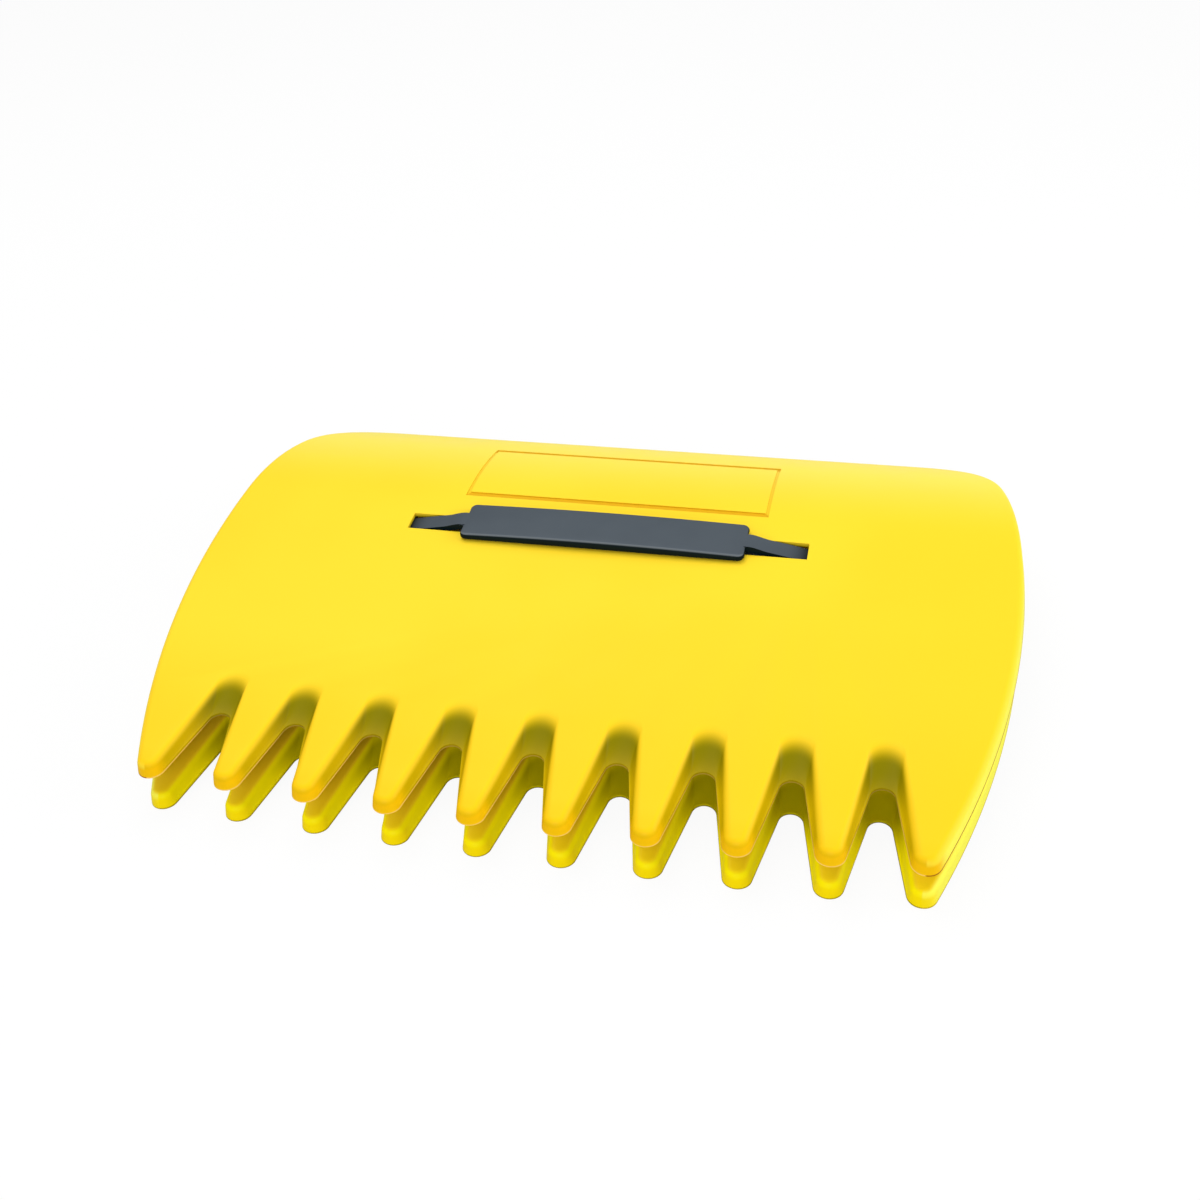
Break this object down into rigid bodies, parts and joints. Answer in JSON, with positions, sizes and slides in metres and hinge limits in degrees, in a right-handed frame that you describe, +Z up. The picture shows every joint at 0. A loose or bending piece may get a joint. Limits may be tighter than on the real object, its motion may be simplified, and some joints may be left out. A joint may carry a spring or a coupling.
{
  "type": "leaf scoops",
  "caption": "Nested pair of hand leaf scoops: toothed, skirted plastic sheets rolled down at the back, each with a strap handle that lifts through a slot.",
  "frame": {"origin": "middle of the footprint on the floor that the lower scoop's tooth tips and back rim stand on", "axes": "+X across the scoops to the right as seen from the teeth, +Y from the teeth to the rolled back rim, +Z up"},
  "size_m": [0.3838, 0.2948, 0.052],
  "materials": {
    "yellow_sheet": "semi-gloss moulded",
    "slate_strap": "satin moulded"
  },
  "bodies": {
    "lower_scoop": {"lower_scoop": "yellow_sheet"},
    "lower_grip": {"lower_grip": "slate_strap"},
    "lower_strap_left": {"lower_strap_left": "slate_strap"},
    "lower_strap_right": {"lower_strap_right": "slate_strap"},
    "upper_scoop": {"upper_scoop": "yellow_sheet"},
    "upper_grip": {"upper_grip": "slate_strap"},
    "upper_strap_left": {"upper_strap_left": "slate_strap"},
    "upper_strap_right": {"upper_strap_right": "slate_strap"}
  },
  "joints": [
    {"name": "upper_scoop_lift", "type": "slide", "parent": "lower_scoop", "child": "upper_scoop", "axis": [0, -0.115, 0.9934], "range_m": [0, 0.15]},
    {"name": "lower_grip_press", "type": "slide", "parent": "lower_scoop", "child": "lower_grip", "axis": [0, -0.115, 0.9934], "range_m": [-0.0121, 0]},
    {"name": "lower_strap_left_bend", "type": "hinge", "parent": "lower_grip", "child": "lower_strap_left", "pos_m": [-0.0685, 0.0246, 0.04072], "axis": [0, 0.9934, 0.115], "range_deg": [0, 27.7]},
    {"name": "lower_strap_right_bend", "type": "hinge", "parent": "lower_grip", "child": "lower_strap_right", "pos_m": [0.0685, 0.0246, 0.04072], "axis": [0, 0.9934, 0.115], "range_deg": [-27.7, 0]},
    {"name": "upper_grip_pull", "type": "slide", "parent": "upper_scoop", "child": "upper_grip", "axis": [0, -0.115, 0.9934], "range_m": [0, 0.016]},
    {"name": "upper_strap_left_bend", "type": "hinge", "parent": "upper_grip", "child": "upper_strap_left", "pos_m": [-0.0685, 0.02377, 0.04787], "axis": [0, 0.9934, 0.115], "range_deg": [-38.98, 0]},
    {"name": "upper_strap_right_bend", "type": "hinge", "parent": "upper_grip", "child": "upper_strap_right", "pos_m": [0.0685, 0.02377, 0.04787], "axis": [0, 0.9934, 0.115], "range_deg": [0, 38.98]}
  ],
  "couplings": [
    {"joint": "lower_strap_left_bend", "follows": "lower_grip_press", "rad_per_m": -39.95},
    {"joint": "lower_strap_right_bend", "follows": "lower_grip_press", "rad_per_m": 39.95},
    {"joint": "upper_strap_left_bend", "follows": "upper_grip_pull", "rad_per_m": -42.52},
    {"joint": "upper_strap_right_bend", "follows": "upper_grip_pull", "rad_per_m": 42.52}
  ]
}
